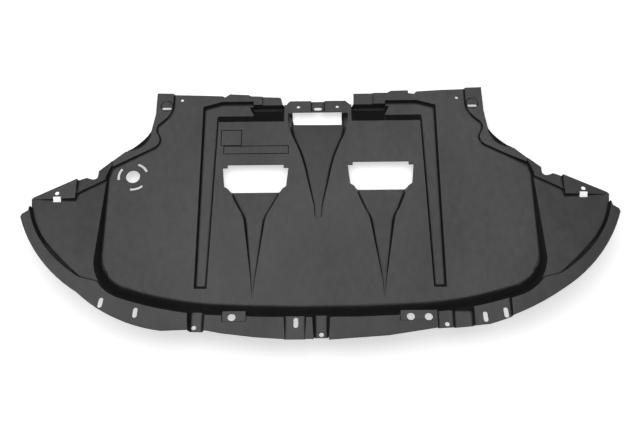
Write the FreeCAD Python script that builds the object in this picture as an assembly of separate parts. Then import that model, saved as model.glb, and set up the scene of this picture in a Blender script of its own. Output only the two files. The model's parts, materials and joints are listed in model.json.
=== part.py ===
"""Engine splash shield: one black plastic sheet, drawn down into a shallow tray.

Millimetres. X runs across the car, Y from the front edge to the rear edge, Z up out of the tray.
While it is drawn, the origin is on the tray's floor, on the middle line; stand() then moves it to
the middle of the footprint, at the height that the sheet stands on.

The sheet is made as a pressing is: form() is a block with everything sunk into it, and the sheet
is the upper form less the same form one wall further out on the underside. The edge is then
trimmed and the holes are punched.
"""
import FreeCAD
import Part
import math
import os

V = FreeCAD.Vector

# Sheet
wall = 3.0
draft = 12.0                # lean of a drawn side, in degrees from upright
groove_draft = 22.0
channel_draft = 5.0         # rear sides of the channel and gutter
duct_draft = 27.0
step_draft = 22.0           # sides of the shallow recesses
arch_draft = 35.0
over = 10.0                 # how far a tool stands clear of what it cuts

# Heights over the tray's floor
rim_height = 54.0
strip_height = 7.0          # flanks beside the rear half of the floor
wing_height = 17.0          # wing plate where it starts beside the floor
wing_rise_out = 0.052       # slope of the wing plate towards the tip
wing_rise_front = 0.125     # slope of the wing plate towards the front
ledge_step = 6.5            # step from the wing plate up to the ledge behind it
pad_height = 30.0           # inner end of the pad with the two side holes
pad_rise_rear = 0.03
front_fall = 8.5            # slope of the front flange, in degrees

# Across: the rear edge from the middle line, then each width that follows it
rear_half = 432.0
flank_width = 48.0          # strip beside the floor, at the rear
arch_reach = 9.0            # the side runs out this far before the wheel arch starts
shoulder_width = 94.0       # from there to the end of the flank strip, where the ledge starts
floor_reach = 4.0           # the floor at the wings reaches past that end
ledge_width = 78.0
pad_width = 112.0
tip_reach = 14.0            # front lip beyond the end of the wing

waist_half = rear_half - flank_width        # floor, at the rear edge
arch_half = rear_half + arch_reach
ledge_half = arch_half + shoulder_width
floor_half = ledge_half + floor_reach       # floor, at the wings
pad_half = ledge_half + ledge_width
wing_half = pad_half + pad_width
tip_half = wing_half + tip_reach
lip_bend = tip_half - 160       # joint of the two arcs of the front lip

# Along, from the tray's middle
rear_left = 358.0
rear_right = 366.0
front_edge = -350.0
floor_front = -244.0        # foot of the front wall, on the middle line
flange_back = -300.0        # crest of the front flange, on the middle line
arch_start = 238.0
ledge_start = 150.0
ledge_end = 119.0
pad_start = 89.0
pad_front = 32.0
wing_end = 33.0
lip_end = 8.0

# Outer wall of the wing: how far its crest stands out past its foot, from the tip to the front
wing_wall = [3.0, 6.5, 10.0, 12.0, 4.0, 4.0]

# Tray wall: height, then how far the side and the front have moved out
wall_rings = [(0, 0, 0), (3, 3, 11), (12, 6, 27), (30, 9.5, 42), (51, 13, 53), (64, 23, 63)]

# Long grooves, and the channel and gutter that lead from them along the rear
groove_depth = 11.0
groove_inset = 76.0         # from the edge of the floor to the groove, at the rear
groove_outer = waist_half - groove_inset
groove_width_rear = 43.0
groove_width_front = 31.0
groove_front = -203.0
groove_end_draft = 42.0
channel_rear = 334.0
channel_corner = (50.0, 15.0)
channel_front = 271.0
channel_slope = 24.6        # front side of channel and gutter, in degrees from level
gutter_depth = 20.0
gutter_rear = 324.0
gutter_half = 89.0          # inner end, from the middle of the centre duct
gutter_ramp_foot = 155.0    # where the ramp up to the channel starts, at the gutter's front
gutter_ramp_run = 8.0
gutter_skew = 0.43          # how far the ramp turns outwards along Y
block_half = 148.0          # lowered block behind the gutter, from the centre duct's middle
block_drop = 3.0

# Air ducts at the sides: middle, half width of the neck, front and rear edge of the opening
side_ducts = [(-165.0, 31.0, 69.0, 141.0), (157.5, 35.0, 75.0, 147.5)]
duct_depth = 18.0
duct_mouth_half = 69.0
duct_mouth = 72.0
duct_neck = -4.0
duct_tip = -226.0
opening_rear_half = 84.5
opening_front_half = 79.0
opening_notch = (12.5, 9.0)
opening_corner = (13.5, 9.0)

# Air duct in the middle
centre_x = -4.0
centre_depth = 23.0
centre_mouth_half = 79.0
centre_neck_half = 11.5
centre_mouth = 296.0
centre_neck = 24.0
centre_tip = -8.0
centre_tip_depth = 2.4
centre_opening_middle = -6.0
centre_opening_half = 65.0
centre_opening_front = 272.0
centre_opening_rear = 299.0

# Tab behind the middle duct
tab_half = 79.5
tab_rear = 334.0
tab_gap = 15.5              # open gap on both sides of the tab
tab_recess_half = 18.5
tab_recess_front = 302.0
tab_recess_depth = 5.0

# Holes
rear_slot_inset = 27.5      # from the sheet's side edge
rear_slot = (rear_half - rear_slot_inset, 312.0)
rear_slot_size = (25.0, 8.5)
dimple_radius = 17.0
dimple_depth = 2.5
dimple_back = 6.5           # how far the dimple's middle lies behind the slot
rear_hole_inset = 66.5
rear_hole = (rear_half - rear_hole_inset, 340.0)
rear_hole_radius = 4.3
tab_hole = (51.5, 315.5)
tab_hole_radius = 4.2
tab_slot_y = 312.0
tab_slot_size = (21.0, 10.0)
side_hole_inset = 63.0      # from the end of the wing
side_hole = (wing_half - side_hole_inset, 48.5)
side_hole_radius = 5.5
side_window = (side_hole[0] - 0.5, pad_front + 1)
side_window_size = (19.5, 14.0)
flange_hole = (298.0, -316.0)
flange_hole_radius = 5.6
centre_hole = (3.0, -336.0)
access_holes = [(-208.0, -297.0), (213.0, -298.0), (255.0, -299.0)]
access_radius = 9.3
flange_slots = [(-520.0, -258.0, 9.0), (-436.0, -284.0, 4.0), (-57.0, -309.0, 0.0),
                (389.0, -298.0, -4.0), (438.0, -288.0, -5.0)]
flange_slot_size = (11.0, 26.0)
drain_inset = 59.0          # from the edge of the floor
drain = (drain_inset - floor_half, 110.0)
drain_radius = 18.0
drain_ring = 37.0
drain_slot_width = 6.5
drain_slot_turn = 52.0      # degrees of ring that each curved slot takes
drain_slot_start = 48.0

# Recesses in the front flange: left edge, right edge, rear end, depth
flange_recesses = [(-311, -273, -272, 16.0), (-17, 22, -278, 16.0), (-84, -34, -290, 6.0),
                   (276, 313, -280, 5.0), (313, 361, -278, 9.0), (361, 451, -240, 5.0)]

# Shelves round the access holes: left edge, right edge, rear end
shelves = [(-229, -176, -282), (190, 276, -283)]
shelf_drop = 3.0
shelf_front = -309.0

# Plain outlines for the labels: left, front, right, rear
label_frames = [(-258, 198, -203, 246), (-250, 173, -80, 198)]
label_line = 2.0
label_depth = 0.8

# Levels clear of the sheet, below and above
far_below = -80.0
far_above = 120.0
far_rear = 430.0


def tangent(degrees):
    return math.tan(math.radians(degrees))


def underside_shift(under, lean):
    """Sideways shift of a leaning side's foot when the side is set back by the wall."""
    return under * tangent((90 - lean) / 2)


def mirrored(points):
    return [(-p[0], *p[1:]) for p in points]


def rectangle(left, front, right, rear):
    return [(left, front), (right, front), (right, rear), (left, rear)]


def on_level(point, level):
    height = level(point[0], point[1]) if callable(level) else level
    return V(point[0], point[1], height)


def closed(points, level):
    """Closed wire on a level or a plane; a point marked "arc" is the middle of an arc."""
    edges = []
    count = len(points)
    i = 0
    while i < count:
        here = on_level(points[i], level)
        after = points[(i + 1) % count]
        if len(after) > 2:
            end = on_level(points[(i + 2) % count], level)
            edges.append(Part.Arc(here, on_level(after, level), end).toShape())
            i += 2
        else:
            edges.append(Part.makeLine(here, on_level(after, level)))
            i += 1
    return Part.Wire(edges)


def grown(points, by):
    """The same outline with every side moved out by the same distance."""
    count = len(points)
    area = sum(points[i - 1][0] * points[i][1] - points[i][0] * points[i - 1][1] for i in range(count))
    turn = 1 if area > 0 else -1
    moved = []
    for i in range(count):
        before = V(points[i][0] - points[i - 1][0], points[i][1] - points[i - 1][1], 0).normalize()
        after = points[(i + 1) % count]
        ahead = V(after[0] - points[i][0], after[1] - points[i][1], 0).normalize()
        out = V(before.y + ahead.y, -before.x - ahead.x, 0) * turn
        reach = by / (1 + before.dot(ahead))
        moved.append((points[i][0] + out.x * reach, points[i][1] + out.y * reach, *points[i][2:]))
    return moved


def prism(points, low, high):
    return Part.Face(closed(points, low)).extrude(V(0, 0, high - low))


def side_face(low, high):
    """Face between two edges of neighbouring rings, flat where they lie in one plane."""
    corners = [edge.valueAt(t) for edge, t in ((low, low.FirstParameter), (low, low.LastParameter),
                                               (high, high.LastParameter), (high, high.FirstParameter))]
    normal = (corners[1] - corners[0]).cross(corners[3] - corners[0]).normalize()
    straight = low.Curve.TypeId == high.Curve.TypeId == "Part::GeomLine"
    if straight and abs(normal.dot(corners[2] - corners[0])) < 1e-6:
        return Part.Face(Part.makePolygon(corners + corners[:1]))
    return Part.makeRuledSurface(low, high)


def between(wires):
    """Solid through closed wires that have the same number of edges."""
    faces = [Part.Face(wires[0]), Part.Face(wires[-1])]
    for low, high in zip(wires, wires[1:]):
        faces += [side_face(a, b) for a, b in zip(low.Edges, high.Edges)]
    return Part.Solid(Part.makeShell(faces))


def lofted(rings):
    return between([closed(points, level) for points, level in rings])


def lowered(level, drop):
    if callable(level):
        return lambda x, y: level(x, y) - drop
    return level - drop


def pocket(outline, level, lean, under, top=rim_height + over):
    """Tool that sinks an area to a level; its outline is the foot of the sides."""
    low = level(*outline[0][:2]) if callable(level) else level
    foot = grown(outline, underside_shift(under, lean))
    head = grown(foot, (top - low) * tangent(lean))
    return lofted([(foot, lowered(level, under)), (head, top - under)])


def recess(mouth, surface, depth, lean, under):
    """Tool for a recess whose outline is its mouth, on a flat surface."""
    foot = grown(mouth, -depth * tangent(lean))
    return pocket(foot, surface - depth, lean, under, surface + over)


def wing_level(x, y):
    return wing_height + wing_rise_out * (abs(x) - floor_half) - wing_rise_front * (y - pad_front)


def ledge_level(x, y):
    return wing_level(x, y) + ledge_step


def pad_level(x, y):
    """The pad's front edge fades into the wing plate where the wing ends."""
    fall_out = (pad_height - wing_level(wing_half, pad_front)) / (wing_half - pad_half)
    return pad_height - fall_out * (abs(x) - pad_half) + pad_rise_rear * (y - pad_front)


def block(under):
    """The uncut form, level at the rim, with the front flange falling to its edge."""
    half = 900 + under
    reach = 700 + under
    top = rim_height - under
    base = -100 - under
    low = top - (reach + flange_back) * tangent(front_fall)
    profile = [(-reach, base), (reach, base), (reach, top), (flange_back, top), (-reach, low)]
    points = [V(-half, y, z) for y, z in profile]
    return Part.Face(Part.makePolygon(points + points[:1])).extrude(V(2 * half, 0, 0))


def floor_ring(side, front):
    """Edge of the floor, moved out by side at the flanks and by front at the front."""
    right = [
        (waist_half + side, far_rear),
        (waist_half + side, 325),
        (waist_half + 4 + side, 300, "arc"),
        (waist_half + 16 + side, 280),
        (waist_half + 30 + side, 266),
        (waist_half + 39 + side, 253, "arc"),
        (waist_half + 38 + side, 238),
        (waist_half + 31 + side, 224),
        (waist_half + 30 + side, 209, "arc"),
        (waist_half + 43 + side, 192),
        (ledge_half - 4 + side, 134),
        (floor_half + side, 105),
        (floor_half + side, floor_front + 149 - 0.6 * front),
        (floor_half - 14 + side, floor_front + 92 - 0.75 * front, "arc"),
        (floor_half - 69 + 0.2 * side, floor_front + 51 - front),
        (floor_half - 164, floor_front + 24 - front, "arc"),
        (floor_half - 289, floor_front + 7 - front),
    ]
    return right + [(0, floor_front - front, "arc")] + mirrored(right[::-1])


def tray(under):
    shift = underside_shift(under, draft)
    rings = []
    for height, side, front in wall_rings:
        rings.append((floor_ring(side + shift, front + shift), height - under))
    return lofted(rings)


def leaned(outline, widths):
    """Outline with every point moved out by its own width."""
    return [grown(outline, width)[i] for i, width in enumerate(widths)]


def wing(under):
    """Wing plate; its outer wall is steep at the tip and gentle towards the front."""
    inside = floor_half - 40
    outline = [
        (inside, 123),
        (pad_half - 6, pad_front + 21),
        (pad_half, pad_front + 15),
        (pad_half, pad_front),
        (tip_half + 30, pad_front),
        (tip_half + 30, lip_end),
        (wing_half - 6, lip_end),
        (wing_half - 23, -40, "arc"),
        (wing_half - 55, -92),
        (wing_half - 99, -140, "arc"),
        (wing_half - 149, -188),
        (inside, -208),
    ]
    foot = grown(outline, underside_shift(under, draft))
    rises = [rim_height - wing_level(x, y) for x, y, *arc in outline]
    steep = [rise * tangent(draft) for rise in rises[:-len(wing_wall)]]
    widths = [width * (rise + over) / rise for width, rise in zip(steep + wing_wall, rises)]
    return lofted([(foot, lowered(wing_level, under)), (leaned(foot, widths), rim_height + over - under)])


def ledge(under):
    inside = floor_half - 40
    outline = [
        (inside, 0),
        (pad_half, 0),
        (pad_half, 220),
        (ledge_half, 220),
        (ledge_half, 122),
        (inside, 122),
    ]
    return pocket(outline, ledge_level, draft, under)


def pad(under):
    return pocket(rectangle(floor_half - 40, pad_front, tip_half + 30, 220), pad_level, draft, under)


def strip(under):
    outline = [
        (300, far_rear),
        (rear_half + 40, far_rear),
        (rear_half + 40, arch_start + 4),
        (arch_half - 21, arch_start + 4),
        (arch_half - 21, 185),
        (ledge_half - 57, 158),
        (ledge_half - 35, 185),
        (ledge_half, 185),
        (ledge_half, 122),
        (300, 122),
    ]
    return pocket(outline, strip_height, draft, under)


def arch(under):
    """Rest of the flank strip, with the upstand that follows the wheel arch."""
    outline = [
        (arch_half - 41, 110),
        (ledge_half - 29, 110),
        (ledge_half - 29, 174),
        (ledge_half - 37, 180),
        (arch_half + 35, 186),
        (arch_half + 13, 202, "arc"),
        (arch_half - 1, arch_start - 2),
        (arch_half - 1, arch_start + 12),
        (arch_half - 41, arch_start + 12),
    ]
    return pocket(outline, strip_height, arch_draft, under)


def groove(under):
    shift = underside_shift(under, groove_draft)
    end_shift = underside_shift(under, groove_end_draft)

    def ring(height):
        out = shift + height * tangent(groove_draft)
        end = groove_front - end_shift - height * tangent(groove_end_draft)
        back = channel_rear + underside_shift(under, channel_draft) + height * tangent(channel_draft)
        return [
            (groove_outer - groove_width_front - out, end),
            (groove_outer + out, end),
            (groove_outer + out, back - channel_corner[1]),
            (groove_outer - channel_corner[0], back),
            (groove_outer - channel_corner[0], 315),
            (groove_outer - groove_width_rear - out, 305),
        ]

    return lofted([(ring(-groove_depth), -groove_depth - under), (ring(over), over - under)])


def trough(left, right, rear, depth, under):
    """Tool across the sheet with a gentle front side and a steep rear one, from left to right(y, z)."""
    slope = tangent(channel_slope)
    front = channel_front - under * tangent(channel_slope / 2)
    back = rear + underside_shift(under, channel_draft)
    lean = tangent(channel_draft)
    profile = [
        (front - over / slope, over),
        (front + depth / slope, -depth),
        (back - depth * lean, -depth),
        (back + over * lean, over),
    ]
    first = [V(left, y, z - under) for y, z in profile]
    last = [V(right(y, z), y, z - under) for y, z in profile]
    return between([Part.makePolygon(first + first[:1]), Part.makePolygon(last + last[:1])])


def channel(under):
    inner = gutter_ramp_foot + 20
    outer = groove_outer - channel_corner[0]
    return trough(inner, lambda y, z: outer + 0.5 * (channel_rear - y), channel_rear, groove_depth, under)


def gutter(inner, under):
    """Gutter, with the ramp at its outer end up to the channel."""
    rise = gutter_ramp_run / (gutter_depth - groove_depth)

    def end(y, z):
        return gutter_ramp_foot + gutter_skew * (y - channel_front) + rise * (z + gutter_depth)

    return trough(inner - underside_shift(under, channel_draft), end, gutter_rear, gutter_depth, under)


def block_recess(inner, outer, under):
    return recess(rectangle(inner, gutter_rear - 8, outer, far_rear), 0, block_drop, step_draft, under)


def ramp(outline, tip, mouth, depth, under, tip_depth=0):
    """Duct that deepens from its tip to its mouth; its outline is its edge in the floor."""
    slope = (depth - tip_depth) / (mouth - tip)
    lean = tangent(duct_draft)
    middle = sum(p[0] for p in outline) / len(outline)
    bottom = []
    top = []
    for x, y, *arc in grown(outline, underside_shift(under, duct_draft)):
        side = 1 if x > middle else -1
        narrowing = (tip_depth + slope * max(y - tip, 0)) * lean
        bottom.append((x - side * min(narrowing, 0.8 * abs(x - middle)), y, *arc))
        top.append((x + side * over * lean, y, *arc))
    return lofted([(bottom, lambda x, y: -slope * (y - tip) - tip_depth - under), (top, over - under)])


def side_duct(middle, neck_half, opening_front, under):
    right = [
        (duct_mouth_half, opening_front + over),
        (duct_mouth_half, opening_front),
        (neck_half + 9, duct_neck + 17),
        (neck_half, duct_neck, "arc"),
        (neck_half - 5, duct_neck - 20),
        (5, duct_tip + 45),
        (1.5, duct_tip),
    ]
    outline = [(middle + x, y, *arc) for x, y, *arc in right + mirrored(right[::-1])]
    return ramp(outline, duct_tip, duct_mouth, duct_depth, under)


def centre_duct(under):
    right = [
        (centre_mouth_half, centre_mouth),
        (76.5, 258, "arc"),
        (62, 214),
        (45, 170, "arc"),
        (30, 108),
        (centre_neck_half, centre_neck),
        (centre_neck_half - 2, centre_tip),
    ]
    end = [(0, centre_tip - 6, "arc")]
    outline = [(centre_x + x, y, *arc) for x, y, *arc in right + end + mirrored(right[::-1])]
    return ramp(outline, centre_tip, centre_mouth, centre_depth, under, centre_tip_depth)


def tab_recess(under):
    mouth = rectangle(centre_x - tab_recess_half, tab_recess_front, centre_x + tab_recess_half, far_rear)
    return recess(mouth, 0, tab_recess_depth, step_draft, under)


def dimple(side, under):
    foot = dimple_radius - dimple_depth + underside_shift(under, 45)
    base = V(side * rear_slot[0], rear_slot[1] + dimple_back, strip_height - dimple_depth - under)
    return Part.makeCone(foot, foot + over, over, base)


def flange_recess(left, right, rear, depth, under):
    return recess(rectangle(left, 2 * front_edge, right, rear), rim_height - 4, depth, step_draft, under)


def shelf(left, right, rear, under):
    """Solid that carries the flange further back round the access holes."""
    foot_level = rim_height / 3
    top = grown(rectangle(left, flange_back, right, rear), -underside_shift(under, draft))
    foot = grown(top, (rim_height - foot_level) * tangent(draft))
    return lofted([(foot, foot_level - under), (top, rim_height - under)])


def shelf_recess(left, right, rear, under):
    mouth = rectangle(left - 3, shelf_front, right + 3, rear + 6)
    return recess(mouth, rim_height, shelf_drop, step_draft, under)


def both_sides(shape):
    return [shape, shape.mirror(V(0, 0, 0), V(1, 0, 0))]


def form(under):
    tools = [tray(under), centre_duct(under), tab_recess(under)]
    for shape in (wing, ledge, pad, strip, arch, groove, channel):
        tools += both_sides(shape(under))
    for side in (1, -1):
        inner = gutter_half + side * centre_x
        outer = block_half + side * centre_x
        for shape in (gutter(inner, under), block_recess(inner, outer, under)):
            tools.append(both_sides(shape)[0 if side > 0 else 1])
        tools.append(dimple(side, under))
    for middle, neck_half, opening_front, opening_rear in side_ducts:
        tools.append(side_duct(middle, neck_half, opening_front, under))
    recesses = [flange_recess(*sizes, under) for sizes in flange_recesses]
    recesses += [shelf_recess(*sizes, under) for sizes in shelves]
    sunk = block(under).cut(tools)
    return sunk.fuse([shelf(*sizes, under) for sizes in shelves]).cut(recesses)


def flank_edge(side, rear_step, arch_foot, pad_lift):
    """Side edge of the trimmed sheet, from the rear corner round the wheel arch to the front lip."""
    notch = pad_half - 47
    points = [
        (rear_half + rear_step, 294),
        (arch_half, arch_start),
        (arch_half + 15, 210, "arc"),
        (ledge_half - 32, 180),
        (ledge_half, arch_foot),
        (notch, ledge_end),
        (notch, ledge_end - 14),
        (notch + 5, pad_start + 6, "arc"),
        (notch + 14, pad_start + 4),
        (notch + 28, pad_start + 9),
        (pad_half, pad_start + pad_lift),
        (wing_half - 6, wing_end + 6),
        (wing_half, wing_end),
        (wing_half - 5, lip_end - 6),
        (wing_half - 3, lip_end - 19),
        (tip_half - 3, lip_end - 29),
        (tip_half, lip_end - 37),
        (tip_half - 65, lip_end - 154, "arc"),
        (lip_bend, lip_end - 239),
    ]
    return [(side * x, y, *arc) for x, y, *arc in points]


def edge():
    """Plan of the trimmed sheet, clockwise from the rear tab."""
    tab_right = centre_x + tab_half
    tab_left = centre_x - tab_half
    rear = [
        (tab_right - 6, tab_rear), (tab_right, tab_rear - 6), (tab_right + 6, 322),
        (tab_right + tab_gap, 324), (tab_right + tab_gap, rear_right - 8), (182, rear_right - 8),
        (191, rear_right - 2), (237, rear_right - 1), (238, rear_right - 10), (254, rear_right - 12),
        (258, rear_right - 5), (323, rear_right - 1), (rear_half, rear_right + 2),
    ]
    lip_right = [((lip_bend + 399) / 2 + 9, -278, "arc"), (399, -316), (361, -320)]
    front = [
        (313, -324), (275, -326), (234, -332), (160, -343), (21, -352), (20, -344), (-14, -344),
        (-16, front_edge), (-83, front_edge), (-154, -345), (-234, -335), (-274, -327), (-313, -326),
    ]
    lip_left = [(-375, -328), (-(lip_bend + 375) / 2 - 9, -295, "arc")]
    rear_left_side = [
        (-rear_half, rear_left + 1), (-319, rear_left - 3), (-257, rear_left - 6), (-252, rear_left - 10),
        (-239, rear_left), (-188, rear_left - 3), (-182, rear_left - 7), (tab_left - tab_gap - 7, 348),
        (tab_left - tab_gap - 3, 345), (tab_left - tab_gap + 2, 324), (tab_left - 4, 322),
        (tab_left, tab_rear - 6), (tab_left + 6, tab_rear),
    ]
    right = flank_edge(1, 1, ledge_start, 0)
    left = flank_edge(-1, 0, ledge_start + 2, 1)[::-1]
    return rear + right + lip_right + front + lip_left + left + rear_left_side


def punch(points):
    return prism(points, far_below, far_above)


def hole(x, y, radius):
    return Part.makeCylinder(radius, far_above - far_below, V(x, y, far_below))


def slot(x, y, size, turn=0):
    """Round-ended slot centred on a point; size is its width along X and its length along Y."""
    radius = min(size) / 2
    half = max(size) / 2 - radius
    points = [(-half, -radius), (half, -radius), (half + radius, 0, "arc"), (half, radius), (-half, radius),
              (-half - radius, 0, "arc")]
    tool = punch(points)
    tool.rotate(V(0, 0, 0), V(0, 0, 1), turn + (90 if size[1] > size[0] else 0))
    tool.translate(V(x, y, 0))
    return tool


def arc_slot(middle, radius, width, angle, turn):
    """Curved slot that follows a ring."""
    def at(reach, degrees):
        a = math.radians(degrees)
        return (middle[0] + reach * math.cos(a), middle[1] + reach * math.sin(a))

    inner = radius - width / 2
    outer = radius + width / 2
    first = angle - turn / 2
    last = angle + turn / 2
    return punch([at(outer, first), (*at(outer, angle), "arc"), at(outer, last), at(inner, last),
                  (*at(inner, angle), "arc"), at(inner, first)])


def air_opening(middle, front, rear):
    notch_x, notch_y = opening_notch
    corner_x, corner_y = opening_corner
    right = [
        (opening_front_half - corner_x, front),
        (opening_front_half, front + corner_y),
        (opening_rear_half, rear - notch_y),
        (opening_rear_half - notch_x, rear - notch_y),
        (opening_rear_half - notch_x, rear),
    ]
    return punch([(middle + x, y) for x, y in right + mirrored(right[::-1])])


def side_punches(side):
    width, length = side_window_size
    x = side * side_window[0]
    y = side_window[1]
    return [
        slot(side * rear_slot[0], rear_slot[1], rear_slot_size),
        hole(side * rear_hole[0], rear_hole[1], rear_hole_radius),
        hole(centre_x + side * tab_hole[0], tab_hole[1], tab_hole_radius),
        hole(side * side_hole[0], side_hole[1], side_hole_radius),
        punch(rectangle(x - width / 2, y - length / 2, x + width / 2, y + length / 2)),
        hole(side * flange_hole[0], flange_hole[1], flange_hole_radius),
    ]


def punches():
    tools = side_punches(1) + side_punches(-1)
    tools += [air_opening(middle, front, rear) for middle, neck_half, front, rear in side_ducts]
    tools.append(punch(rectangle(centre_opening_middle - centre_opening_half, centre_opening_front,
                                 centre_opening_middle + centre_opening_half, centre_opening_rear)))
    tools.append(slot(centre_x, tab_slot_y, tab_slot_size))
    tools.append(hole(*centre_hole, flange_hole_radius))
    tools += [hole(x, y, access_radius) for x, y in access_holes]
    tools += [slot(x, y, flange_slot_size, -turn) for x, y, turn in flange_slots]
    tools.append(hole(*drain, drain_radius))
    for step in range(3):
        angle = drain_slot_start + 120 * step
        tools.append(arc_slot(drain, drain_ring, drain_slot_width, angle, drain_slot_turn))
    return tools


def label_lines():
    """Shallow plain lines round the two label places."""
    tools = []
    for frame in label_frames:
        outer = prism(rectangle(*frame), -label_depth, over)
        inner = prism(grown(rectangle(*frame), -label_line), -over, 2 * over)
        tools.append(outer.cut(inner))
    return tools


def stand(shape):
    box = shape.optimalBoundingBox(False)
    shape.translate(V(-box.Center.x, -box.Center.y, -box.ZMin))
    return shape


def shield():
    sheet = form(0).cut(form(wall))
    sheet = sheet.common(punch(edge()))
    return sheet.cut(punches() + label_lines())


os.makedirs("parts", exist_ok=True)
sheet = shield()
sheet_box = sheet.optimalBoundingBox(False)
print("solids", len(sheet.Solids), "valid", sheet.isValid(), "volume", round(sheet.Volume))
print("middle and base of the sheet in its drawing", sheet_box.Center.x, sheet_box.Center.y, sheet_box.ZMin)
stand(sheet).exportStep("parts/shield.step")
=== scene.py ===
# %% [markdown]
# # An engine splash shield, dressed for the studio
#
# The object is one sheet of black plastic that closes the underside of an engine bay. Its shape comes
# from the imported model, which is loaded here as a fixed frame. What is left for Blender is mostly what a
# maker would call the finish: soft edges where the sheet ran round the mould, a fine grain, a dull sheen,
# faint flow marks and pale handling wear on the edges. On top of that, painted shade darkens the inner
# corners and the bottoms of the shallow lines in the floor.
#
# Everything is in metres, in the frame of the model: X across the car, Y to the rear, Z up.

# %% Start with an empty scene and load the frame
import json
import math

import bmesh
import bpy
from mathutils import Matrix, Vector

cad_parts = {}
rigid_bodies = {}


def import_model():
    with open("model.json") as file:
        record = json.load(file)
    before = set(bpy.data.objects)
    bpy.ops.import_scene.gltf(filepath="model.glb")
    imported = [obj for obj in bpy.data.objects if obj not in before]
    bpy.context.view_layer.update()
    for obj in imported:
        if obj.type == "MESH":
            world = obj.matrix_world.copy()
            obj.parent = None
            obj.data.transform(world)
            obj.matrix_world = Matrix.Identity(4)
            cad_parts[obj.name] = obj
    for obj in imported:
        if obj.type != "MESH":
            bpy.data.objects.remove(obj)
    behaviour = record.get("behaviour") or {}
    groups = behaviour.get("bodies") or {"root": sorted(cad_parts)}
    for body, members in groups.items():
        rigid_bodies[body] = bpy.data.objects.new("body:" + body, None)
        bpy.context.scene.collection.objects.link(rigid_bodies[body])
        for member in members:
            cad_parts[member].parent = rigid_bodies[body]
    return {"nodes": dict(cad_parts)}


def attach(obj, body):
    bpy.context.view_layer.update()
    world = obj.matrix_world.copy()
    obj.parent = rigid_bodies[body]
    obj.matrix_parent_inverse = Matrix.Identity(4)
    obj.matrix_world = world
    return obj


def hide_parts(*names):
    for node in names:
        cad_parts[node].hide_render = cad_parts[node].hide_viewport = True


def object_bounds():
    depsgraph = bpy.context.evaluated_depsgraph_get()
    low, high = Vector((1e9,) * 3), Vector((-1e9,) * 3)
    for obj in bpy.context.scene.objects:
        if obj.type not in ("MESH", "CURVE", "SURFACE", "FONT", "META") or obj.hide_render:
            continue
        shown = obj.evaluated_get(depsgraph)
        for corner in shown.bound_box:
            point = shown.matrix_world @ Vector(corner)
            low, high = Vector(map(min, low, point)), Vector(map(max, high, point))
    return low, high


for thing in list(bpy.data.objects):
    bpy.data.objects.remove(thing)
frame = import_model()
cad_low, cad_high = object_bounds()
print("the frame's box:", [round(v, 4) for v in (*cad_low, *cad_high)])

# %% [markdown]
# ## The sheet
#
# On the real part every fold of the sheet is a little round, because hot plastic doesn't follow a mould
# into a sharp corner. A render shows that at once: a round edge catches a thin line of light. The packed
# model has sharp folds, as a drawing does.
#
# One way is to change the shading only, with a Bevel node in the material. That costs nothing, but it is
# lost when the model is exported. The way taken here is a copy of the node's mesh with real, narrow
# bevels. The copy stands for the node. Welding comes first, because the loaded mesh has a seam along
# every sharp edge, and a bevel can't run across a seam.

# %% Copy the sheet and weld it
WELD = 0.00002
FLAT = math.radians(0.3)


def welded_copy(node):
    """Mesh data of a node as one closed skin, with flat areas merged into larger faces."""
    skin = bmesh.new()
    skin.from_mesh(node.data)
    bmesh.ops.remove_doubles(skin, verts=skin.verts, dist=WELD)
    bmesh.ops.dissolve_limit(skin, angle_limit=FLAT, verts=skin.verts, edges=skin.edges, delimit=set())
    return skin


skin = welded_copy(frame["nodes"]["shield"])
open_edges = sum(len(edge.link_faces) != 2 for edge in skin.edges)
print("welded sheet:", len(skin.verts), "points,", len(skin.faces), "faces,", open_edges, "open edges")

# %% [markdown]
# Which edges get a bevel? Folds sharper than about 22 degrees do, down to the ramp between each channel
# and its gutter. The gentler steps between the rings of the tray's wall are one soft curve on the real
# part, so they are only shaded smooth. A bevel also needs room: next to a very short edge it would fold
# over itself, so those places stay as they are.

# %% Find the folds that can be rounded
FOLD = math.radians(22.5)
ROOM = 0.0016


def has_room(point):
    return all(edge.calc_length() > ROOM for edge in point.link_edges)


def folds(skin):
    """Edges sharp enough to round, with room for it at both ends."""
    chosen = []
    for edge in skin.edges:
        if edge.calc_face_angle(0) > FOLD and has_room(edge.verts[0]) and has_room(edge.verts[1]):
            chosen.append(edge)
    return chosen


rounded_edges = folds(skin)
print("folds to round:", len(rounded_edges), "of", len(skin.edges), "edges")

# %% [markdown]
# Two steps to a bevel are enough at this size, where a round edge is about a millimetre across. Where
# faces meet at odd angles, a bevel can put a point some hundredths of a millimetre outside the model's
# box. The finish mustn't change the part's size, so each point is then held inside the box.

# %% Round the folds
ROUND = 0.0007
ROUND_STEPS = 2
FULL_ROUND = 0.5


def hold_inside(skin, low, high):
    """Puts points that lie outside a box on its nearest side, and tells how many there were."""
    moved = 0
    for point in skin.verts:
        held = [min(max(value, least), most) for value, least, most in zip(point.co, low, high)]
        if held != list(point.co):
            point.co = held
            moved += 1
    return moved


made = bmesh.ops.bevel(skin, geom=rounded_edges, offset=ROUND, offset_type="OFFSET", segments=ROUND_STEPS,
                       profile=FULL_ROUND, affect="EDGES", clamp_overlap=False)
print("the bevel made", len(made["faces"]), "narrow faces")
print("points put back inside the box:", hold_inside(skin, cad_low, cad_high))

# %% [markdown]
# The narrow faces are where the sheet gets rubbed. They are remembered in a colour attribute, so that the
# material can put handling wear just there. An attribute travels with the mesh, and it reads the same in
# every view.

# %% Mark the rounded edges
def mark_edges(skin, narrow):
    """Writes 1 on the rounded edges' faces and 0 elsewhere."""
    layer = skin.loops.layers.float_color.new("edge_mark")
    narrow = set(narrow)
    for face in skin.faces:
        value = 1.0 if face in narrow else 0.0
        for loop in face.loops:
            loop[layer] = (value, value, value, 1.0)


mark_edges(skin, made["faces"])
print("marked:", len(made["faces"]), "of", len(skin.faces), "faces")
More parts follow.
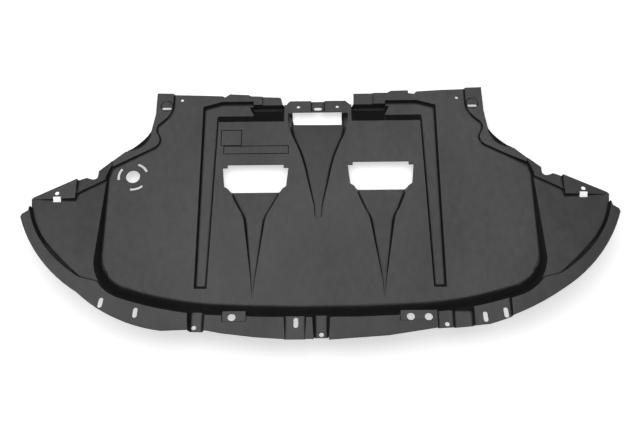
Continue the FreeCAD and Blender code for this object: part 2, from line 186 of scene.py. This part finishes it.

# %% [markdown]
# Two kinds of face get a material slot each. The trimmed and punched edges of the sheet have a finish of
# their own: they show cut plastic, which never touched the mould. They are the faces that stand upright.
# The shallow lines in the tray's floor get painted shade: their bottoms, which are level and lie just under
# the floor, take a near-black, dull material, so that the lines look as dark as deep grooves in shade.

# %% Give the cut edges and the sunk lines their slots
CUT_SLOT = 1
LINE_SLOT = 2
UPRIGHT = 0.02
LEVEL = 0.999
TRAY_FLOOR = 0.02612
LINE_SUNK = (0.0006, 0.001)


def is_cut(face):
    return abs(face.normal.z) < UPRIGHT


def is_line_bottom(face):
    sunk = TRAY_FLOOR - face.calc_center_median().z
    return LINE_SUNK[0] < sunk < LINE_SUNK[1] and face.normal.z > LEVEL


def give_slot(skin, belongs, slot):
    """Puts every face that belongs into a material slot, and tells how many there were."""
    chosen = [face for face in skin.faces if belongs(face)]
    for face in chosen:
        face.material_index = slot
    return len(chosen)


print("cut faces:", give_slot(skin, is_cut, CUT_SLOT))
print("faces at the bottom of the sunk lines:", give_slot(skin, is_line_bottom, LINE_SLOT))

# %% Let the sheet stand for the node
sheet_mesh = bpy.data.meshes.new("moulded_sheet")
skin.to_mesh(sheet_mesh)
skin.free()
sheet = bpy.data.objects.new("moulded_sheet", sheet_mesh)
bpy.context.scene.collection.objects.link(sheet)
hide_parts("shield")
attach(sheet, "root")
print("faces of the dressed sheet:", len(sheet_mesh.polygons))

# %% [markdown]
# Smooth shading mixes the normals of neighbouring faces. Left alone, it would tilt the large flat areas
# towards the small faces beside them. Normals weighted by face area avoid that: the large faces keep
# their own direction, and all the turning happens in the narrow faces and in the rings of the wall.
# Edges above a limit stay crisp. It lies just over the steps of the wall and just under the fold of the
# ramp, which would otherwise be shaded away.

# %% Shade it smooth with weighted normals
SMOOTH_BELOW = math.radians(23.5)
AREA_WEIGHT = 90


def shade(piece, limit):
    for polygon in piece.data.polygons:
        polygon.use_smooth = True
    piece.data.set_sharp_from_angle(angle=limit)
    weighted = piece.modifiers.new("area_weighted_normals", "WEIGHTED_NORMAL")
    weighted.mode = "FACE_AREA"
    weighted.weight = AREA_WEIGHT
    weighted.keep_sharp = True


shade(sheet, SMOOTH_BELOW)
print("modifiers:", [m.name for m in sheet.modifiers])

# %% [markdown]
# ## Effects for the plastic
#
# The three materials below, the moulded face, the cut edge and the painted shade of the sunk lines, share
# four effects, and one of them is painted shade in the inner corners. Each is a node group that is built
# once and placed with its own values. A group gives out only masks and heights, and the shader stays in
# the material. Every group works in the object's own metres, so a scale is a number of cells or clouds to
# the metre.

# %% Helpers for node groups
def new_group(name, inputs, outputs):
    """An empty shader node group with float inputs and float outputs."""
    group = bpy.data.node_groups.new(name, "ShaderNodeTree")
    for title, value in inputs:
        socket = group.interface.new_socket(title, in_out="INPUT", socket_type="NodeSocketFloat")
        socket.default_value = value
    for title in outputs:
        group.interface.new_socket(title, in_out="OUTPUT", socket_type="NodeSocketFloat")
    return group, group.nodes.new("NodeGroupInput"), group.nodes.new("NodeGroupOutput")


def feed(tree, socket, value):
    """Sets a socket to a number, or links another node's output to it."""
    if isinstance(value, (int, float)):
        socket.default_value = value
    else:
        tree.links.new(value, socket)


def math_node(tree, operation, first, second, clamp=False):
    node = tree.nodes.new("ShaderNodeMath")
    node.operation = operation
    node.use_clamp = clamp
    feed(tree, node.inputs[0], first)
    feed(tree, node.inputs[1], second)
    return node.outputs[0]


def noise(tree, place, scale, detail, rough=0.5):
    node = tree.nodes.new("ShaderNodeTexNoise")
    tree.links.new(place, node.inputs["Vector"])
    feed(tree, node.inputs["Scale"], scale)
    node.inputs["Detail"].default_value = detail
    node.inputs["Roughness"].default_value = rough
    return node.outputs[0]


print("node groups so far:", len(bpy.data.node_groups))

# %% [markdown]
# The **grain** is a fine pebbled skin from the mould. Rounded cells from a Voronoi texture give the
# pebbles, and a finer noise keeps them from looking even.

# %% Grain group
PEBBLE_SOFTNESS = 0.6
FINER_BY = 2.3
FINE_SHARE = 0.5


def build_grain():
    """Pebbled mould grain; Cells is the number of pebbles to the metre."""
    group, inside, outside = new_group("mould_grain", [("Cells", 700.0)], ["Height"])
    place = group.nodes.new("ShaderNodeTexCoord").outputs["Object"]
    pebbles = group.nodes.new("ShaderNodeTexVoronoi")
    pebbles.feature = "SMOOTH_F1"
    group.links.new(place, pebbles.inputs["Vector"])
    group.links.new(inside.outputs["Cells"], pebbles.inputs["Scale"])
    pebbles.inputs["Smoothness"].default_value = PEBBLE_SOFTNESS
    fine = noise(group, place, math_node(group, "MULTIPLY", inside.outputs["Cells"], FINER_BY), detail=2.0)
    domes = math_node(group, "SUBTRACT", 1.0, pebbles.outputs["Distance"])
    height = math_node(group, "ADD", domes, math_node(group, "MULTIPLY", fine, FINE_SHARE))
    group.links.new(height, outside.inputs["Height"])
    return group


grain = build_grain()
print("group:", grain.name, "with", len(grain.nodes), "nodes")

# %% [markdown]
# The **flow marks** are what is left of the hot plastic's way through the mould: broad, very faint clouds
# that are a little stretched along the sheet, with a finer mottle in them. Most of a noise lies near the
# middle of its range, so that part is spread out to get marks that run from none to full.

# %% Flow mark group
ALONG_THE_SHEET = (1.0, 0.55, 1.0)
MIDDLE_PART = (0.3, 0.7)


def spread(tree, value, part):
    """Stretches one part of a value's range to 0..1."""
    node = tree.nodes.new("ShaderNodeMapRange")
    tree.links.new(value, node.inputs["Value"])
    node.inputs["From Min"].default_value = part[0]
    node.inputs["From Max"].default_value = part[1]
    return node.outputs[0]


def build_flow():
    """Broad clouds and a finer mottle, both from 0 to 1."""
    group, inside, outside = new_group("flow_marks", [("Cloud Scale", 5.0), ("Mottle Scale", 70.0)],
                                       ["Cloud", "Mottle"])
    coordinates = group.nodes.new("ShaderNodeTexCoord")
    stretch = group.nodes.new("ShaderNodeMapping")
    stretch.inputs["Scale"].default_value = ALONG_THE_SHEET
    group.links.new(coordinates.outputs["Object"], stretch.inputs["Vector"])
    place = stretch.outputs["Vector"]
    cloud = noise(group, place, inside.outputs["Cloud Scale"], detail=4.0, rough=0.55)
    mottle = noise(group, place, inside.outputs["Mottle Scale"], detail=3.0, rough=0.6)
    group.links.new(spread(group, cloud, MIDDLE_PART), outside.inputs["Cloud"])
    group.links.new(spread(group, mottle, MIDDLE_PART), outside.inputs["Mottle"])
    return group


flow = build_flow()
print("group:", flow.name, "with", len(flow.nodes), "nodes")

# %% [markdown]
# **Handling wear** is where a corner has rubbed on a shelf or a floor. It sits on the rounded edges only,
# and a noise breaks it up, so it never makes an even outline. Fine scuffs on the open face come from a
# second, long and thin noise, of which only the highest part counts.

# %% Wear group
WORN_PART = (0.42, 0.62)
SCUFFED_PART = (0.66, 0.8)
SCUFF_TURN = 0.5
SCUFF_THINNESS = 14.0


def build_wear():
    """Wear on the marked edges, and sparse scuffs on the open face."""
    group, inside, outside = new_group("handling_wear", [("Patch Scale", 45.0), ("Scuff Scale", 30.0)],
                                       ["Edge", "Scuff"])
    place = group.nodes.new("ShaderNodeTexCoord").outputs["Object"]
    mark = group.nodes.new("ShaderNodeAttribute")
    mark.attribute_name = "edge_mark"
    patches = noise(group, place, inside.outputs["Patch Scale"], detail=4.0, rough=0.6)
    edge = math_node(group, "MULTIPLY", mark.outputs["Fac"], spread(group, patches, WORN_PART))
    thin = group.nodes.new("ShaderNodeMapping")
    thin.inputs["Rotation"].default_value = (0.0, 0.0, SCUFF_TURN)
    thin.inputs["Scale"].default_value = (1.0, SCUFF_THINNESS, 1.0)
    group.links.new(place, thin.inputs["Vector"])
    streaks = noise(group, thin.outputs["Vector"], inside.outputs["Scuff Scale"], detail=2.0)
    group.links.new(edge, outside.inputs["Edge"])
    group.links.new(spread(group, streaks, SCUFFED_PART), outside.inputs["Scuff"])
    return group


wear = build_wear()
print("group:", wear.name, "with", len(wear.nodes), "nodes")

# %% [markdown]
# ** Painted corner shade** darkens the foot of a groove or a step and takes its sheen away, so that the
# creases look as dark as shade makes them. The Ambient Occlusion node tells how much of the open sky a
# point has lost to the part itself within a few millimetres. It looks only at the part, so the floor of the
# studio paints no shade on it.

# %% Painted corner shade group
SKY_SAMPLES = 8
LOST_PART = (0.12, 0.34)


def build_painted_corner_shade():
    """Painted shade in tight inner corners; Reach is how far it spreads from the corner, in metres."""
    group, inside, outside = new_group("painted_corner_shade", [("Reach", 0.008)], ["Film"])
    sky = group.nodes.new("ShaderNodeAmbientOcclusion")
    sky.only_local = True
    sky.samples = SKY_SAMPLES
    group.links.new(inside.outputs["Reach"], sky.inputs["Distance"])
    # painted shade: the more sky a point has lost to the part, the darker and duller it is made
    lost = math_node(group, "SUBTRACT", 1.0, sky.outputs["AO"])
    group.links.new(spread(group, lost, LOST_PART), outside.inputs["Film"])
    return group


painted_corner_shade = build_painted_corner_shade()
print("group:", painted_corner_shade.name, "with", len(painted_corner_shade.nodes), "nodes")

# %% [markdown]
# ## The plastic
#
# The plastic is a soot-black polypropylene. Its own colour is nearly black, and the dark grey that the eye
# sees is the soft reflection of whatever is bright above it. So the base colour stays very dark, and the
# gloss decides the look: flat areas take an even grey sheen, and the steep walls, which see nothing
# bright, fall to black.
#
# All three materials follow one recipe. The flow marks choose between a smooth and a dull tone, then the
# scuffs and the worn edges come over it in a paler one, and the painted corner shade lies on top.

# %% Colour of the plastic
CLOUD_SHARE = 0.6
MOTTLE_SHARE = 0.4
SCUFF_SHOWS = 0.25
WEAR_SHOWS = 0.55
# near-black colour of the painted shade in the inner corners
PAINTED_SHADE_COLOUR = (0.001, 0.001, 0.001)
COLOUR_INPUTS = (6, 7)
COLOUR_RESULT = 2


def mix_colour(tree, amount, first, second):
    """Colour mix by a mask; first and second are a colour or another node's output."""
    node = tree.nodes.new("ShaderNodeMix")
    node.data_type = "RGBA"
    tree.links.new(amount, node.inputs["Factor"])
    for number, value in zip(COLOUR_INPUTS, (first, second)):
        if isinstance(value, tuple):
            node.inputs[number].default_value = (*value, 1.0)
        else:
            tree.links.new(value, node.inputs[number])
    return node.outputs[COLOUR_RESULT]


def plastic_tone(tree, marks):
    """How dull the plastic is, from 0 to 1."""
    clouds = math_node(tree, "MULTIPLY", marks.outputs["Cloud"], CLOUD_SHARE)
    mottle = math_node(tree, "MULTIPLY", marks.outputs["Mottle"], MOTTLE_SHARE)
    return math_node(tree, "ADD", clouds, mottle)


def plastic_colour(tree, tone, rub, painted_shade, smooth, dull, worn):
    colour = mix_colour(tree, tone, smooth, dull)
    colour = mix_colour(tree, math_node(tree, "MULTIPLY", rub.outputs["Scuff"], SCUFF_SHOWS), colour, worn)
    colour = mix_colour(tree, math_node(tree, "MULTIPLY", rub.outputs["Edge"], WEAR_SHOWS), colour, worn)
    # the last mix paints shade: it darkens the colour towards near black in the inner corners
    return mix_colour(tree, painted_shade.outputs["Film"], colour, PAINTED_SHADE_COLOUR)


print("shares of the flow marks:", CLOUD_SHARE, "clouds,", MOTTLE_SHARE, "mottle")

# %% [markdown]
# The gloss follows the same effects. A dull place is rougher than a smooth one, a rubbed edge is a little
# rougher again, and the painted corner shade takes nearly all of the sheen away.

# %% Roughness of the plastic
WEAR_ROUGHENS = 0.12
PAINTED_SHADE_ROUGHENS = 0.65


def plastic_roughness(tree, tone, rub, painted_shade, roughness):
    clean = tree.nodes.new("ShaderNodeMapRange")
    tree.links.new(tone, clean.inputs["Value"])
    clean.inputs["To Min"].default_value = roughness[0]
    clean.inputs["To Max"].default_value = roughness[1]
    worn = math_node(tree, "MULTIPLY", rub.outputs["Edge"], WEAR_ROUGHENS)
    # the painted corner shade also roughens the surface, so the corners lose their sheen and read darker
    shade_roughening = math_node(tree, "MULTIPLY", painted_shade.outputs["Film"], PAINTED_SHADE_ROUGHENS)
    extra = math_node(tree, "ADD", worn, shade_roughening)
    return math_node(tree, "ADD", clean.outputs[0], extra, clamp=True)


print("most that is added to the roughness:", WEAR_ROUGHENS + PAINTED_SHADE_ROUGHENS)

# %% [markdown]
# The recipe puts the groups, the colour, the roughness and the grain's bump together round one Principled
# shader. The sheen is the shader's specular level, one number for a whole material: 0.5 is what a clean
# plastic has.

# %% The recipe for a material
CLEAN_SHEEN = 0.5
PLASTIC_IOR = 1.6
GRAIN_STRENGTH = 0.35


def place_group(tree, group, values):
    node = tree.nodes.new("ShaderNodeGroup")
    node.node_tree = group
    for title, value in values.items():
        node.inputs[title].default_value = value
    return node


def plastic(name, smooth, dull, worn, roughness, grain_cells, grain_depth, sheen=CLEAN_SHEEN):
    """Moulded plastic, from its smooth tone and roughness to its dull ones."""
    material = bpy.data.materials.new(name)
    material.use_nodes = True
    tree = material.node_tree
    shader = tree.nodes["Principled BSDF"]
    marks = place_group(tree, flow, {"Cloud Scale": 5.0, "Mottle Scale": 70.0})
    rub = place_group(tree, wear, {"Patch Scale": 45.0, "Scuff Scale": 30.0})
    # painted shade in the inner corners
    painted_shade = place_group(tree, painted_corner_shade, {"Reach": 0.008})
    pebbles = place_group(tree, grain, {"Cells": grain_cells})
    tone = plastic_tone(tree, marks)
    colour = plastic_colour(tree, tone, rub, painted_shade, smooth, dull, worn)
    tree.links.new(colour, shader.inputs["Base Color"])
    tree.links.new(plastic_roughness(tree, tone, rub, painted_shade, roughness), shader.inputs["Roughness"])
    bump = tree.nodes.new("ShaderNodeBump")
    bump.inputs["Strength"].default_value = GRAIN_STRENGTH
    bump.inputs["Distance"].default_value = grain_depth
    tree.links.new(pebbles.outputs["Height"], bump.inputs["Height"])
    tree.links.new(bump.outputs["Normal"], shader.inputs["Normal"])
    shader.inputs["Specular IOR Level"].default_value = sheen
    shader.inputs["IOR"].default_value = PLASTIC_IOR
    return material


print("groups to place:", [group.name for group in bpy.data.node_groups])

# %% [markdown]
# The moulded face is the glossiest of the three. The cut edge is rougher, and its grain is finer, because
# the mould's pebbles aren't on it. The sunk line's material is painted shade: near black, with almost no
# sheen.

# %% Make the three materials
moulded_face = plastic("moulded_black_plastic",
                       smooth=(0.014, 0.014, 0.0143), dull=(0.001, 0.001, 0.001), worn=(0.05, 0.05, 0.05),
                       roughness=(0.23, 0.42), grain_cells=650.0, grain_depth=0.0004)
cut_edge = plastic("trimmed_edge",
                   smooth=(0.010, 0.010, 0.0103), dull=(0.016, 0.016, 0.0165), worn=(0.06, 0.06, 0.06),
                   roughness=(0.5, 0.62), grain_cells=1400.0, grain_depth=0.0003)
# painted shade: the bottoms of the sunk lines are made near black and dull
painted_line_shade = plastic("painted_line_shade",
                    smooth=(0.002, 0.002, 0.002), dull=(0.003, 0.003, 0.003), worn=(0.01, 0.01, 0.01),
                    roughness=(0.75, 0.9), grain_cells=1400.0, grain_depth=0.0003, sheen=0.1)
for material in (moulded_face, cut_edge, painted_line_shade):
    sheet_mesh.materials.append(material)
for slot in frame["nodes"]["shield"].material_slots:
    slot.material = moulded_face
print("materials:", [m.name for m in sheet_mesh.materials])

# %% [markdown]
# ## Floor
#
# The photograph has a plain white ground. A floor that is only lit would need so much light to turn white
# that the object would wash out. So the floor has a white colour under soft light, and for the camera's
# own rays a glow is added, which lifts it to white under the lamps. Where the object keeps light off it,
# the floor is still darker, so the soft shadow stays. Far from the lamps it falls off to a pale grey, which
# only a low view shows.

# %% Make the floor
FLOOR_HALF = 12.0
FLOOR_COLOUR = (0.86, 0.86, 0.86)
FLOOR_LIFT = 0.55


def build_floor(half):
    mesh = bpy.data.meshes.new("studio_floor")
    corners = [(-half, -half, 0), (half, -half, 0), (half, half, 0), (-half, half, 0)]
    mesh.from_pydata(corners, [], [(0, 1, 2, 3)])
    floor = bpy.data.objects.new("studio_floor", mesh)
    bpy.context.scene.collection.objects.link(floor)
    return floor


def white_ground(name, colour, lift):
    """A matt white, with a glow that only the camera's own rays see."""
    material = bpy.data.materials.new(name)
    material.use_nodes = True
    tree = material.node_tree
    tree.nodes.remove(tree.nodes["Principled BSDF"])
    matt = tree.nodes.new("ShaderNodeBsdfDiffuse")
    matt.inputs["Color"].default_value = (*colour, 1.0)
    glow = tree.nodes.new("ShaderNodeEmission")
    seen = tree.nodes.new("ShaderNodeLightPath").outputs["Is Camera Ray"]
    tree.links.new(math_node(tree, "MULTIPLY", seen, lift), glow.inputs["Strength"])
    both = tree.nodes.new("ShaderNodeAddShader")
    tree.links.new(matt.outputs[0], both.inputs[0])
    tree.links.new(glow.outputs[0], both.inputs[1])
    tree.links.new(both.outputs[0], tree.nodes["Material Output"].inputs["Surface"])
    return material


floor = build_floor(FLOOR_HALF)
floor.data.materials.append(white_ground("white_ground", FLOOR_COLOUR, FLOOR_LIFT))
print("floor:", [round(v, 2) for v in floor.dimensions])

# %% [markdown]
# ## Light
#
# One large soft box hangs over the sheet, a little to the rear, where a flat area mirrors it towards the
# camera. It gives the even grey of the floor of the tray. The steep walls mirror the space low down at the
# rear, so that space stays empty, and the walls fall to black as they do in the photograph. Weaker boxes
# stand at the front and at both sides. The camera hardly sees what they do, but the sheet keeps its form
# when it is seen from there.

# %% Hang the soft boxes
MIDDLE = (0.0, 0.0, 0.0)


def soft_box(name, place, aim, size, power):
    """A rectangular lamp; place and aim are points in metres, power is in watts."""
    lamp = bpy.data.lights.new(name, "AREA")
    lamp.shape = "RECTANGLE"
    lamp.size = size[0]
    lamp.size_y = size[1]
    lamp.energy = power
    box = bpy.data.objects.new(name, lamp)
    bpy.context.scene.collection.objects.link(box)
    box.location = place
    box.rotation_euler = (Vector(aim) - Vector(place)).to_track_quat("-Z", "Y").to_euler()


soft_box("key_soft_box", place=(-0.35, 0.95, 2.6), aim=(-0.35, 0.95, 0.0), size=(3.9, 3.7), power=73.0)
soft_box("front_soft_box", place=(0.0, -2.6, 2.0), aim=MIDDLE, size=(3.2, 1.4), power=24.0)
for side in (-1, 1):
    soft_box("side_soft_box", place=(side * 3.0, 0.0, 1.6), aim=MIDDLE, size=(1.6, 1.2), power=8.0)

# %% [markdown]
# The world is dim for the object, so that it adds hardly any light of its own, and white for the rays that
# come straight from the camera, so that whatever lies past the floor is white as well.

# %% Set the world
AMBIENT = 0.02


def studio_world(ambient):
    world = bpy.data.worlds.new("studio_world")
    bpy.context.scene.world = world
    world.use_nodes = True
    tree = world.node_tree
    background = tree.nodes["Background"]
    background.inputs["Color"].default_value = (1.0, 1.0, 1.0, 1.0)
    path = tree.nodes.new("ShaderNodeLightPath")
    seen = math_node(tree, "MULTIPLY", path.outputs["Is Camera Ray"], 1.0 - ambient)
    tree.links.new(math_node(tree, "ADD", seen, ambient), background.inputs["Strength"])
    return world


print("world:", studio_world(AMBIENT).name)

# %% [markdown]
# ## Camera
#
# The camera's place was worked out from pairs of matching points on the left and right of the sheet: it
# looks down at about 63 degrees from the front, nearly on the middle line, with a very slight roll.

# %% Set the camera
CAMERA_AIM = Vector((0.0005, -0.008, 0.02614))
CAMERA_FAR = 2.597
CAMERA_TURN = math.radians(1.25)
CAMERA_HEIGHT = math.radians(63.44)
CAMERA_ROLL = math.radians(-1.67)
CAMERA_LENS = 57.99
CAMERA_SENSOR = 36.0


def photo_camera():
    """Camera at the photograph's angle, without shift or depth of field."""
    away = Vector((math.cos(CAMERA_HEIGHT) * math.sin(CAMERA_TURN),
                   -math.cos(CAMERA_HEIGHT) * math.cos(CAMERA_TURN),
                   math.sin(CAMERA_HEIGHT)))
    right = (-away).cross(Vector((0, 0, 1))).normalized()
    up = right.cross(-away)
    across = right * math.cos(CAMERA_ROLL) + up * math.sin(CAMERA_ROLL)
    above = up * math.cos(CAMERA_ROLL) - right * math.sin(CAMERA_ROLL)
    data = bpy.data.cameras.new("photo_camera")
    data.lens = CAMERA_LENS
    data.sensor_width = CAMERA_SENSOR
    camera = bpy.data.objects.new("photo_camera", data)
    bpy.context.scene.collection.objects.link(camera)
    turn = Matrix((across, above, away)).transposed().to_4x4()
    camera.matrix_world = Matrix.Translation(CAMERA_AIM + away * CAMERA_FAR) @ turn
    return camera


bpy.context.scene.camera = photo_camera()
bpy.context.scene.view_settings.view_transform = "Standard"
print("camera:", [round(v, 3) for v in bpy.context.scene.camera.location])

# %% Update the view layer
bpy.context.view_layer.update()
